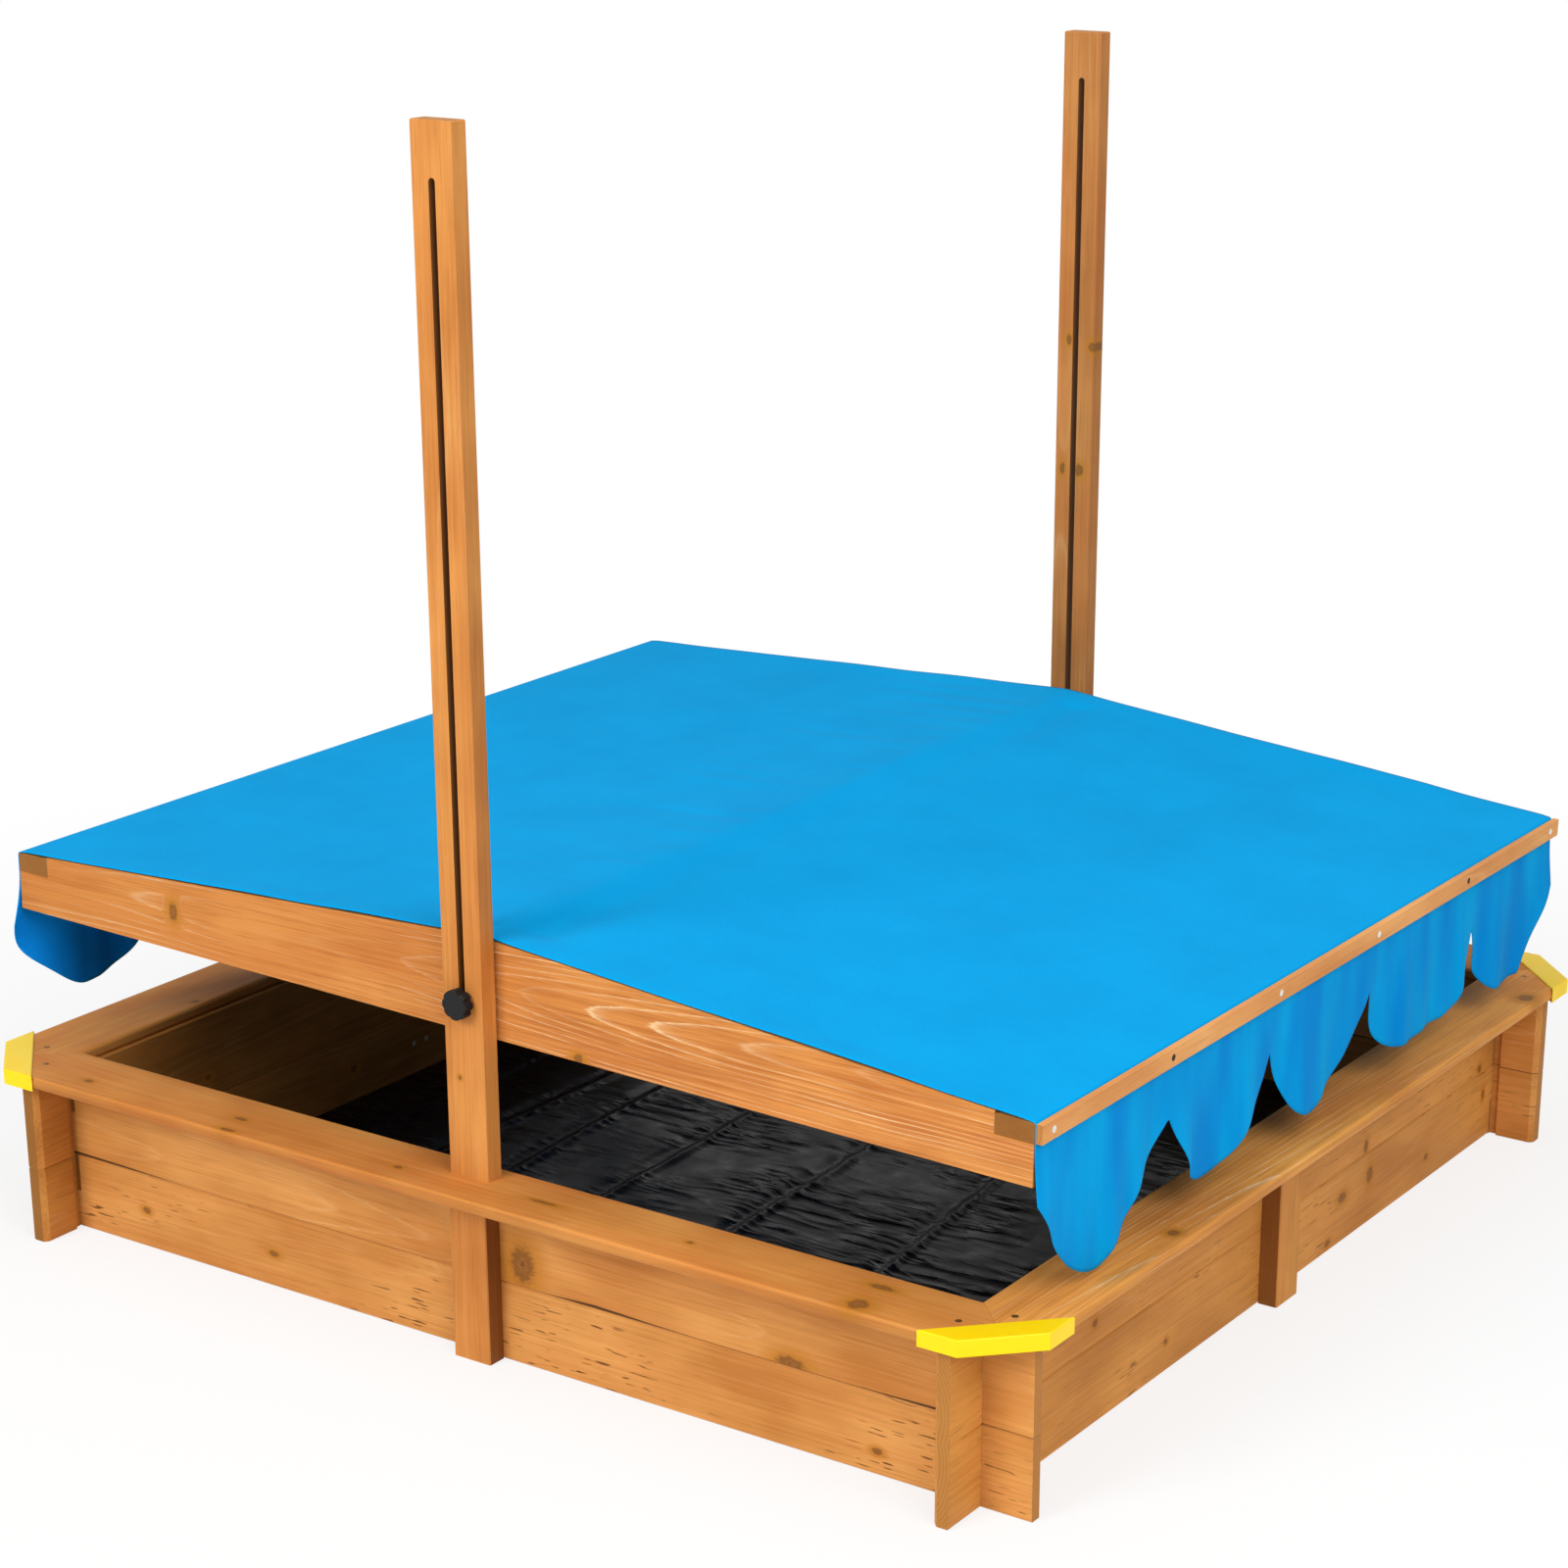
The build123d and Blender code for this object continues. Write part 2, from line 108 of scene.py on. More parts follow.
def spread(tree, value, low, high, to_low=0.0, to_high=1.0, kind="LINEAR"):
    """Carries low..high to to_low..to_high and holds both ends."""
    return add(tree, "MapRange", {0: value, 1: low, 2: high, 3: to_low, 4: to_high}, interpolation_type=kind)


def blend(tree, share, first, second):
    """A share of the second colour over the first. Each is a link or an sRGB hex colour."""
    first, second = [linear(colour) if isinstance(colour, str) else colour for colour in (first, second)]
    return add(tree, "Mix", {"Factor": share, 6: first, 7: second}, out=2, data_type="RGBA")


def new_material(name):
    """An empty node material and its tree."""
    material = bpy.data.materials.new(name)
    material.use_nodes = True
    material.node_tree.nodes.clear()
    return material, material.node_tree


def surface(tree, **inputs):
    """Ends a material with one principled surface. Names use _ for a space."""
    values = {name.replace("_", " "): value for name, value in inputs.items()}
    shader = add(tree, "BsdfPrincipled", values)
    add(tree, "OutputMaterial", {"Surface": shader})


def value_noise(u, v, seed):
    """Smooth noise in -1..1: random heights on a unit grid, joined by the smoothstep of the two fractions."""
    count = 64                          # the grid repeats after this many steps
    heights = np.random.default_rng(seed).uniform(-1, 1, (count, count))
    i, j = np.floor(u).astype(int), np.floor(v).astype(int)
    a, b = u - i, v - j
    a, b = a * a * (3 - 2 * a), b * b * (3 - 2 * b)
    i, j, i_next, j_next = i % count, j % count, (i + 1) % count, (j + 1) % count
    h00, h01 = heights[i, j], heights[i, j_next]
    h10, h11 = heights[i_next, j], heights[i_next, j_next]
    return (h00 * (1 - a) + h10 * a) * (1 - b) + (h01 * (1 - a) + h11 * a) * b


def smooth(edge0, edge1, x):
    """0 before edge0, 1 after edge1, and a smooth rise between."""
    t = np.clip((x - edge0) / (edge1 - edge0), 0, 1)
    return t * t * (3 - 2 * t)


def grid_piece(name, points, face, back, body, thickness):
    """A sheet: a grid of points, joined by quads, thickened about its middle and smoothly shaded.

    The face material is on the side from which columns run rightwards and rows run upwards.
    """
    rows, columns = points.shape[:2]
    index = np.arange(rows * columns).reshape(rows, columns)
    corners = [index[:-1, :-1], index[:-1, 1:], index[1:, 1:], index[1:, :-1]]
    faces = np.stack(corners, -1).reshape(-1, 4)
    mesh = bpy.data.meshes.new(name)
    mesh.from_pydata(points.reshape(-1, 3), [], faces)
    mesh.shade_smooth()
    mesh.materials.append(face)
    mesh.materials.append(back)
    piece = bpy.data.objects.new(name, mesh)
    bpy.context.scene.collection.objects.link(piece)
    solid = piece.modifiers.new("thickness", "SOLIDIFY")
    solid.thickness = thickness
    solid.offset = 0
    solid.material_offset = 1
    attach(piece, body)
    return piece


def lean(points):
    """Roof points, built level, turned about the clamp bolts by the roof's lean."""
    x, z = points[..., 0].copy(), points[..., 2] - bolt_height
    c, s = math.cos(roof_lean), math.sin(roof_lean)
    points[..., 0] = x * c + z * s
    points[..., 2] = bolt_height - x * s + z * c
    return points


# ---------------------------------------------------------------- camera, light and floor
def camera():
    """A long lens, right of the near mast and above the roof. The shifts set the object off centre."""
    azimuth, drop, roll = math.radians(34.47), math.radians(19.92), math.radians(-0.09)
    data = bpy.data.cameras.new("camera")
    data.sensor_width = 36
    data.lens = 81.48
    data.shift_x = -0.0208
    data.shift_y = 0.144
    made = bpy.data.objects.new("camera", data)
    bpy.context.scene.collection.objects.link(made)
    made.location = (1.92381, -2.78153, 1.40574)
    level = math.cos(drop)
    forward = Vector((-math.sin(azimuth) * level, math.cos(azimuth) * level, -math.sin(drop)))
    made.rotation_mode = "QUATERNION"
    made.rotation_quaternion = forward.to_track_quat("-Z", "Y") @ Quaternion((0, 0, 1), roll)
    bpy.context.scene.camera = made


def lamp(name, place, target, size, power):
    """A square soft light that looks from one point to another."""
    data = bpy.data.lights.new(name, "AREA")
    data.size = size
    data.energy = power
    made = bpy.data.objects.new(name, data)
    bpy.context.scene.collection.objects.link(made)
    made.location = place
    made.rotation_mode = "QUATERNION"
    made.rotation_quaternion = (Vector(target) - Vector(place)).to_track_quat("-Z", "Y")


def shows_white(tree):
    """1 for the rays that look for a background: from the camera, a mirror or a pane."""
    seen = add(tree, "LightPath", out="Is Camera Ray")
    glossy = add(tree, "LightPath", out="Is Glossy Ray")
    passed = add(tree, "LightPath", out="Is Transmission Ray")
    either = maths(tree, "MAXIMUM", seen, glossy)
    return maths(tree, "MAXIMUM", either, passed)


def studio():
    """White surroundings, a pale floor that keeps a faint shadow, and three soft lights."""
    world = bpy.data.worlds.new("studio")
    bpy.context.scene.world = world
    world.use_nodes = True
    tree = world.node_tree
    tree.nodes.clear()
    on_things = 0.26                    # how much light the surroundings give
    dim = add(tree, "Background", {"Color": linear("FFFFFF"), "Strength": on_things})
    white = add(tree, "Background", {"Color": linear("FFFFFF"), "Strength": 1.0})
    both = add(tree, "MixShader", {0: shows_white(tree), 1: dim, 2: white})
    add(tree, "OutputWorld", {"Surface": both})

    material, tree = new_material("pale_floor_paint")
    paint = add(tree, "BsdfDiffuse", {"Color": linear("F4F4F2")})
    glow = add(tree, "Emission", {"Color": linear("FFFFFF"), "Strength": 1.0})
    away = add(tree, "VectorMath", {0: add(tree, "TexCoord", out="Object")}, out="Value", operation="LENGTH")
    # the floor is part paint within 0.8 m of the middle and plain white from 1.8 m on
    share = spread(tree, away, 0.8, 1.8, 0.78, 1.0, kind="SMOOTHSTEP")
    share = maths(tree, "MULTIPLY", shows_white(tree), share)
    add(tree, "OutputMaterial", {"Surface": add(tree, "MixShader", {0: share, 1: paint, 2: glow})})
    bpy.ops.mesh.primitive_plane_add(size=30, location=(0, 0, -0.5 * MM))
    floor = bpy.context.object
    floor.name = "floor"
    floor.data.materials.append(material)

    lamp("key", place=(-1.0, -5.0, 3.4), target=(0, -0.2, 0.2), size=2.4, power=195)
    lamp("fill", place=(3.3, -1.8, 3.0), target=(0, 0, 0.2), size=2.6, power=108)
    lamp("top", place=(0.3, 0.4, 4.0), target=(0, 0, 0), size=3.0, power=36)
    bpy.context.scene.view_settings.view_transform = "Standard"


# ---------------------------------------------------------------- wood
# Spruce, planed and stained with a honey glaze. The stain sinks into the soft early wood, and the
# dense late wood stays paler, so the yearly rings show as thin cream lines with a softer side.
ring_pitch = 3.4 * MM
ring_wander = 17 * MM                   # how far the rings swerve along a board
ring_fray = 1.1 * MM                    # how far the fibres ruffle a ring
knot_swerve = 3 * MM                    # how far the rings bend round a knot
fibre_pitch = 1.3 * MM                  # real fibres are about 0.03 mm; drawn as coarse as shows
streak_pitch = 3.6 * MM
cloud_pitch = 85 * MM
half_slot = 5 * MM                      # a mast's slot is 7 mm wide, so its walls lie inside this
open_joint_height = 3.4 * MM            # the most that a warped plank stands off the one below
ruddy_stain = "C9702F"
fibre_groove = "9E5E26"
soaked_stain = "A65A1A"
resin = "5A3010"
round_knots = "B8761F"
# painted shade in a joint that a warped plank leaves open
joint_gap_shade = "38200C"
# edge faces: deeper stain, and painted shade where less light falls on them
edge_stain_and_shade = "5E3210"
late_wood_end = "7C4C1C"
# mast slot walls: deeper stain, and painted shade inside the narrow slot
slot_stain_and_shade = "7A4A1C"


def wood(name, node, pith=60.0, aside=10.0, runout=14.0, lines=0.5, grain=0.55, light="DE9F57",
         dark="BA7836", pale="F2CA8E", ends="AE7536", ruddy=0.2, dashes=0.0, edges=0.1, fade=(),
         slotted=False, gaps=(), knots=(), seed=0):
    """Stained spruce for one board.

    The board was cut pith millimetres from the tree's middle and aside millimetres off its own centre,
    and runout is how far, in millimetres per metre, the tree's middle drifts from it. lines is how pale
    the late wood is, and grain how much fibres and streaks differ. A knot is (along, across, half length,
    half width) in millimetres of the shared frame. edges is how much darker the edge faces are, by more
    stain taken there and by painted shade where less light falls on them, ends the colour of the end grain,
    and fade how much more stain the board has at its start and at its end. gaps are stops along the board,
    0 to 1, of how far the joint below it has opened; the dark line in that joint is painted shade.
    """
    low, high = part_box(node)
    size = high - low
    centre = (high + low) / 2
    thin, wide, long = sorted(range(3), key=lambda axis: size[axis])
    material, tree = new_material(name)
    place = add(tree, "TexCoord", out="Object")
    parts = [add(tree, "SeparateXYZ", {0: place}, out=axis) for axis in (long, wide, thin)]
    turned = add(tree, "CombineXYZ", {0: parts[0], 1: parts[1], 2: parts[2]})
    board = add(tree, "Mapping", {0: turned, "Location": (-centre[long], -centre[wide], -centre[thin])})
    along = add(tree, "SeparateXYZ", {0: board}, out=0)
    across = add(tree, "SeparateXYZ", {0: board}, out=1)
    through = add(tree, "SeparateXYZ", {0: board}, out=2)

    def pattern(steps, offset, detail, rough=0.5):
        """Noise with a step size in metres along, across and through the board."""
        scaled = add(tree, "VectorMath", {0: board, 1: [1 / step for step in steps]}, operation="MULTIPLY")
        moved = add(tree, "VectorMath", {0: scaled, 1: (seed * offset, seed * 2.3, offset)}, operation="ADD")
        return add(tree, "TexNoise", {"Vector": moved, "Scale": 1.0, "Detail": detail, "Roughness": rough})

    fibres = pattern((0.07, fibre_pitch, fibre_pitch), 1.1, 3.0, 0.6)
    streaks = pattern((0.30, streak_pitch, streak_pitch), 4.7, 3.0, 0.55)
    cloud = pattern((2 * cloud_pitch, cloud_pitch, cloud_pitch), 1.9, 3.0)
    warm = pattern((0.25, 0.04, 0.04), 6.1, 2.0)
    rag = pattern((0.006, 0.003, 0.003), 2.7, 2.0)

    # distance to the nearest knot, in its own radii, with a ragged rim
    near_knot = None
    for knot_along, knot_across, half_length, half_width in knots:
        spot = (knot_along * MM - centre[long], knot_across * MM - centre[wide], 0)
        away = add(tree, "VectorMath", {0: board, 1: spot}, operation="SUBTRACT")
        away = add(tree, "VectorMath", {0: away, 1: (1 / half_length / MM, 1 / half_width / MM, 0)},
                   operation="MULTIPLY")
        away = add(tree, "VectorMath", {0: away}, out="Value", operation="LENGTH")
        if near_knot is not None:
            away = maths(tree, "MINIMUM", near_knot, away)
        near_knot = away

    # yearly rings: distance from the tree's middle, which drifts along the board and wanders
    wander = pattern((0.50, 0.10, 0.10), 7.3, 2.0, 0.45)
    drift = maths(tree, "MULTIPLY_ADD", along, runout * MM, pith * MM)
    depth = maths(tree, "ADD", through, drift)
    side = maths(tree, "SUBTRACT", across, aside * MM)
    from_pith = add(tree, "CombineXYZ", {0: 0.0, 1: side, 2: depth})
    radius = add(tree, "VectorMath", {0: from_pith}, out="Value", operation="LENGTH")
    radius = maths(tree, "MULTIPLY_ADD", wander, ring_wander, radius)
    radius = maths(tree, "MULTIPLY_ADD", fibres, ring_fray, radius)
    if near_knot is not None:
        push = spread(tree, near_knot, 0.8, 3.5, knot_swerve, 0.0, kind="SMOOTHERSTEP")
        radius = maths(tree, "ADD", radius, push)
    rings = maths(tree, "MULTIPLY", radius, 1 / ring_pitch)
    year = maths(tree, "FRACT", rings)
    late = add(tree, "ValToRGB", {0: year},
               stops=[(0.0, 0.4), (0.06, 0.0), (0.66, 0.0), (0.87, 0.28), (0.96, 1.0)])
    # some years are stronger than others, and each fades in and out along the board
    years = maths(tree, "FLOOR", rings)
    strength = add(tree, "CombineXYZ", {0: years, 1: along, 2: seed * 2.9})
    strength = add(tree, "VectorMath", {0: strength, 1: (0.61, 3.2, 1)}, operation="MULTIPLY")
    strength = add(tree, "TexNoise", {"Vector": strength, "Scale": 1.0, "Detail": 1.0})
    strength = spread(tree, strength, 0.46, 0.72, 0.08, 1.0)
    line = maths(tree, "MULTIPLY", late, strength)
    line = maths(tree, "MULTIPLY", line, lines)
    if near_knot is not None:
        # rings blur near a knot
        calm = spread(tree, near_knot, 1.5, 4.5, 0.1, 1.0)
        line = maths(tree, "MULTIPLY", line, calm)

    mixed = maths(tree, "MULTIPLY", fibres, 0.50 * grain)
    mixed = maths(tree, "MULTIPLY_ADD", streaks, 0.62 * grain, mixed)
    mixed = maths(tree, "MULTIPLY_ADD", cloud, 0.95, mixed)
    average = 0.56 * grain + 0.475      # of the three noises, each 0.5
    reach = 0.19                        # from the average to full dark or full light
    tone = spread(tree, mixed, average - reach, average + reach)
    colour = blend(tree, tone, dark, light)
    glow = spread(tree, warm, 0.40, 0.66, 0.0, ruddy)
    colour = blend(tree, glow, colour, ruddy_stain)
    groove = spread(tree, fibres, 0.43, 0.30, 0.0, 0.55 * grain)
    colour = blend(tree, groove, colour, fibre_groove)
    colour = blend(tree, line, colour, pale)

    if fade:
        stain = spread(tree, along, -size[long] / 2, size[long] / 2, fade[0], fade[1])
        colour = blend(tree, stain, colour, soaked_stain)
    if dashes:
        # short resin streaks, 5 to 25 mm long, in groups
        speck = pattern((0.026, 0.0026, 0.5), 3.3, 1.0)
        speck = spread(tree, speck, 0.655, 0.71)
        group = spread(tree, cloud, 0.47, 0.58)
        speck = maths(tree, "MULTIPLY", speck, group)
        speck = maths(tree, "MULTIPLY", speck, dashes)
        colour = blend(tree, speck, colour, resin)
    if near_knot is not None:
        halo = spread(tree, near_knot, 1.0, 3.0, 0.75, 0.0, kind="SMOOTHSTEP")
        colour = blend(tree, halo, colour, round_knots)
        rim = maths(tree, "SUBTRACT", rag, 0.5)
        rim = maths(tree, "MULTIPLY_ADD", rim, 0.9, near_knot)
        heart = add(tree, "ValToRGB", {0: rim}, stops=[(0.0, "5E3414"), (0.25, "8E5A2A"), (0.55, "7E5024"),
                                                       (0.85, "5A3413"), (1.0, "8A5420")])
        inside = spread(tree, rim, 1.35, 0.6, 0.0, 0.85)
        colour = blend(tree, inside, colour, heart)
    if gaps:
        # painted shade: a dark line in the joint under a warped plank, standing for the shade in its open
        # gap, as the modelled planks touch
        opened = spread(tree, along, -size[long] / 2, size[long] / 2)
        opened = add(tree, "ValToRGB", {0: opened}, stops=gaps)
        above = maths(tree, "ADD", across, size[wide] / 2)
        opened = maths(tree, "MULTIPLY", opened, open_joint_height)
        above = maths(tree, "SUBTRACT", opened, above)
        shade = spread(tree, above, -0.5 * MM, 0.3 * MM, 0.0, 0.92)
        colour = blend(tree, shade, colour, joint_gap_shade)

    # end grain and the edge faces drink more stain; the edge darkening is also painted shade where less light
    # falls on those narrow faces
    normal = add(tree, "VectorMath", {0: add(tree, "TexCoord", out="Normal")}, operation="ABSOLUTE")
    to_end, to_edge, to_face = [add(tree, "SeparateXYZ", {0: normal}, out=axis)
                                for axis in (long, wide, thin)]
    # painted shade and deeper stain on the edge faces
    edge_stain_and_shade_mask = spread(tree, to_edge, 0.6, 0.9, 0.0, edges)
    colour = blend(tree, edge_stain_and_shade_mask, colour, edge_stain_and_shade)
    end = spread(tree, to_end, 0.75, 0.95, 0.0, 0.8)
    end_colour = blend(tree, late, ends, late_wood_end)
    colour = blend(tree, end, colour, end_colour)
    # painted shade and deeper stain on the walls inside a mast's slot
    if slotted:
        centred = maths(tree, "LESS_THAN", maths(tree, "ABSOLUTE", across), half_slot)
        turned_in = maths(tree, "LESS_THAN", to_face, 0.5)
        not_top = maths(tree, "LESS_THAN", to_end, 0.95)
        inner = maths(tree, "MULTIPLY", centred, turned_in)
        inner = maths(tree, "MULTIPLY", inner, not_top)
        colour = blend(tree, inner, colour, slot_stain_and_shade)

    rough = spread(tree, fibres, 0.3, 0.7, 0.52, 0.68)
    raised = maths(tree, "MULTIPLY_ADD", late, 0.4, fibres)
    bump = add(tree, "Bump", {"Height": raised, "Strength": 0.3, "Distance": 0.25 * MM})
    surface(tree, Base_Color=colour, Roughness=rough, Normal=bump, Specular_IOR_Level=0.18)
    return material


tan = dict(light="D9934A", dark="B66F30")
seat = dict(light="E09B4E", dark="BE7632", ruddy=0.45)
brown = dict(light="DC9B4D", dark="B67835")
# painted shade: darker tones for the left wall's planks, whose faces lie in the dark pit under the roof
shaded_left_tones = dict(light="C4853E", dark="9A6226", ends="8A5A24")
boards = {
    "near_upper_plank": dict(
        pith=70, aside=-20, runout=26, lines=0.25, ruddy=0.15, seed=1,
        gaps=[(0.05, 1.0), (0.11, 0.75), (0.185, 0.1), (0.55, 0.1), (0.61, 1.0), (0.70, 0.2), (0.84, 0.15),
              (0.92, 0.9), (0.95, 0.3)], knots=[(46, 99, 13, 17), (340, 80, 14, 7), (235, 152, 3, 2)]),
    "near_lower_plank": dict(
        pith=95, aside=30, runout=18, lines=0.12, ruddy=0.15, dashes=0.9, seed=2,
        knots=[(-427, 39, 5, 3), (-260, 34, 6, 3), (430, 22, 5, 3)]),
    "far_upper_plank": dict(
        pith=60, aside=14, runout=22, lines=0.25, seed=3, knots=[(-200, 110, 6, 8), (260, 130, 5, 4)],
        gaps=[(0.1, 0.3), (0.3, 0.9), (0.42, 0.2), (0.6, 0.2), (0.8, 0.6), (0.93, 0.2)]),
    "far_lower_plank": dict(
        pith=80, aside=-30, runout=16, lines=0.2, dashes=0.5, seed=4, knots=[(70, 30, 8, 5)]),
    "left_upper_plank": dict(
        pith=66, aside=22, runout=20, lines=0.22, seed=5, **shaded_left_tones,
        knots=[(-60, 120, 6, 6), (-330, 100, 5, 3), (200, 130, 4, 3)]),
    "left_lower_plank": dict(
        pith=74, aside=-12, runout=20, lines=0.2, seed=6, **shaded_left_tones, knots=[(-110, 40, 5, 4)]),
    "right_upper_plank": dict(
        pith=88, aside=-24, runout=24, lines=0.14, seed=7, dashes=0.5, ruddy=0.1, **brown,
        knots=[(466, 84, 4, 4), (200, 86, 4, 6), (-334, 112, 5, 4), (-330, 98, 4, 4), (-120, 140, 3, 2)]),
    "right_lower_plank": dict(
        pith=92, aside=20, runout=18, lines=0.14, seed=8, dashes=0.6, ruddy=0.1, **brown,
        knots=[(479, 51, 3, 5), (344, 26, 4, 3), (212, 52, 6, 8), (152, 48, 8, 5), (123, 9, 5, 3),
               (-200, 30, 3, 3)]),
    "near_seat_board": dict(
        pith=85, aside=-30, runout=20, lines=0.16, seed=9, edges=0.22, **seat,
        knots=[(-458, -550, 5, 3), (-268, -541, 7, 3), (-260, -568, 8, 3), (-69, -548, 5, 3),
               (91, -538, 14, 2.5), (438, -521, 12, 4), (440, -560, 9, 9), (250, -536, 3, 2)]),
    "far_seat_board": dict(
        pith=75, aside=26, runout=22, lines=0.35, seed=10, **seat, knots=[(-120, 540, 7, 5)]),
    "left_seat_board": dict(
        pith=62, aside=-18, runout=24, lines=0.25, seed=11, **seat,
        knots=[(-327, -531, 4, 3), (90, -560, 7, 5)]),
    # painted light: the right seat board gets paler tones than the other seats, lifting the roof's shadow on
    # it
    "right_seat_board": dict(
        pith=40, aside=36, runout=22, lines=0.8, grain=0.8, seed=12, edges=0.2, light="F6AE52",
        dark="CE843A", pale="F8DCB0", knots=[(-284, 583, 6, 5), (446, 588, 9, 8)]),
    "near_mast": dict(
        pith=72, aside=12, runout=9, lines=0.16, seed=13, ruddy=0.2, slotted=True, edges=0.05, **tan,
        knots=[(274, -6, 2, 2)]),
    "far_mast": dict(
        pith=60, aside=-9, runout=9, lines=0.18, seed=14, slotted=True, edges=0.08, light="D08C4A",
        dark="A46630", ruddy=0.4,
        knots=[(787, -8, 5, 3), (648, -13, 6, 3), (648, 8, 6, 5), (781, 20, 5, 4)]),
    "near_centre_post": dict(
        pith=66, aside=6, runout=10, lines=0.2, seed=15, edges=0.8, ruddy=0.15, **tan),
    "far_centre_post": dict(
        pith=62, aside=-6, runout=10, lines=0.2, seed=16, edges=0.5, **tan),
    "left_centre_post": dict(
        pith=58, aside=9, runout=10, lines=0.25, seed=17, edges=0.5, **tan),
    "right_centre_post": dict(
        pith=64, aside=-8, runout=10, lines=0.2, seed=18, edges=0.75, **brown),
    "near_gable_rail": dict(
        pith=47.1, aside=9, runout=-30, lines=1.0, grain=1.0, seed=19, ruddy=0.3, fade=(0.45, 0.0),
        light="E29C52", dark="B87034", pale="F8D6A4", knots=[(-371, 355, 5, 9), (111, 310, 5, 4)]),
    "far_gable_rail": dict(
        pith=52, aside=20, runout=30, lines=0.7, grain=0.9, seed=20, knots=[(130, 350, 7, 6)]),
    "left_cross_bar": dict(
        pith=40, aside=8, runout=12, lines=0.3, seed=21, ends="7A4C1A"),
    "right_cross_bar": dict(
        pith=44, aside=-8, runout=12, lines=0.3, seed=22, ends="7A4C1A"),
    "ridge_bar": dict(
        pith=50, aside=5, runout=12, lines=0.3, seed=23),
    "right_batten": dict(
        pith=70, aside=3, runout=8, lines=0.25, seed=24, edges=0.0, ruddy=0.2, light="EBAA66",
        dark="CE8A4C"),
}


def woodwork():
    """Gives each board its own stained spruce."""
    for node, facts in boards.items():
        frame["nodes"][node].data.materials.clear()
        frame["nodes"][node].data.materials.append(wood("stained_spruce_" + node, node, **facts))


# ---------------------------------------------------------------- plastics and metal
def moulded_polyethylene():
    """Corner caps: bright yellow moulded plastic, smooth with a faint orange-peel and a soft gloss."""
    material, tree = new_material("yellow_moulded_polyethylene")
    place = add(tree, "TexCoord", out="Object")
    peel = add(tree, "TexNoise", {"Vector": place, "Scale": 1 / (2.5 * MM), "Detail": 2.0})
    haze = add(tree, "TexNoise", {"Vector": place, "Scale": 1 / (40 * MM), "Detail": 1.0})
    colour = blend(tree, haze, "FFDE00", "FDD200")
    rough = spread(tree, haze, 0.3, 0.7, 0.30, 0.42)
    bump = add(tree, "Bump", {"Height": peel, "Strength": 0.12, "Distance": 0.1 * MM})
    surface(tree, Base_Color=colour, Roughness=rough, Normal=bump, Specular_IOR_Level=0.25)
    return material


def moulded_nylon():
    """Star knobs: black glass-filled nylon with a fine sparked grain, matt with a broad sheen."""
    material, tree = new_material("black_moulded_nylon")
    place = add(tree, "TexCoord", out="Object")
    grain = add(tree, "TexNoise", {"Vector": place, "Scale": 1 / (0.7 * MM), "Detail": 3.0})
    colour = blend(tree, grain, "08090A", "131517")
    bump = add(tree, "Bump", {"Height": grain, "Strength": 0.3, "Distance": 0.1 * MM})
    surface(tree, Base_Color=colour, Roughness=0.55, Normal=bump, Specular_IOR_Level=0.25)
    return material


sunk_batten_screws = (-0.294, 0.296)    # places along Y
screw_reach = 20 * MM                   # either side of such a place; the next screw is far beyond it


def zinc(name, colour, darker, rough, sunk=()):
    """Zinc-plated steel: a pale grey metal, passivated, with slight mottling.

    sunk are places along Y, in metres, where a screw lies deeper in its hole; its head there is painted dark
    brown as painted shade of the hole.
    """
    material, tree = new_material(name)
    place = add(tree, "TexCoord", out="Object")
    mottle = add(tree, "TexNoise", {"Vector": place, "Scale": 1 / (3 * MM), "Detail": 2.0})
    tint = blend(tree, mottle, colour, darker)
    # painted shade: the heads of the deeper batten screws are painted dark brown for the shade of their holes
    for spot in sunk:
        near = maths(tree, "COMPARE", add(tree, "SeparateXYZ", {0: place}, out=1), spot, screw_reach)
        tint = blend(tree, near, tint, "2A1A0E")
    surface(tree, Base_Color=tint, Roughness=rough, Metallic=1.0)
    return material


def fittings():
    """Gives caps, knobs, screws, bolts and washers their plastic or metal."""
    cap = moulded_polyethylene()
    knob = moulded_nylon()
    plated = zinc("zinc_plated_steel", "D8D8D4", "A8A8A4", 0.38)
    # seat screw heads in a darker, brown-tinted metal
    dark_head = zinc("dark_brown_screw_steel", "A87748", "5E4024", 0.6)
    batten_head = zinc("zinc_plated_batten_screw_steel", "F2F2EE", "D4D4D0", 0.45, sunk=sunk_batten_screws)
    for name, node in frame["nodes"].items():
        material = None
        if name.endswith("corner_cap"):
            material = cap
        elif name.endswith("star_knob"):
            material = knob
        elif name == "seat_screws":
            material = dark_head
        elif name == "batten_screws":
            material = batten_head
        elif name.endswith(("_screws", "_washer", "_bolt")):
            material = plated
        if material is not None:
            node.data.materials.clear()
            node.data.materials.append(material)


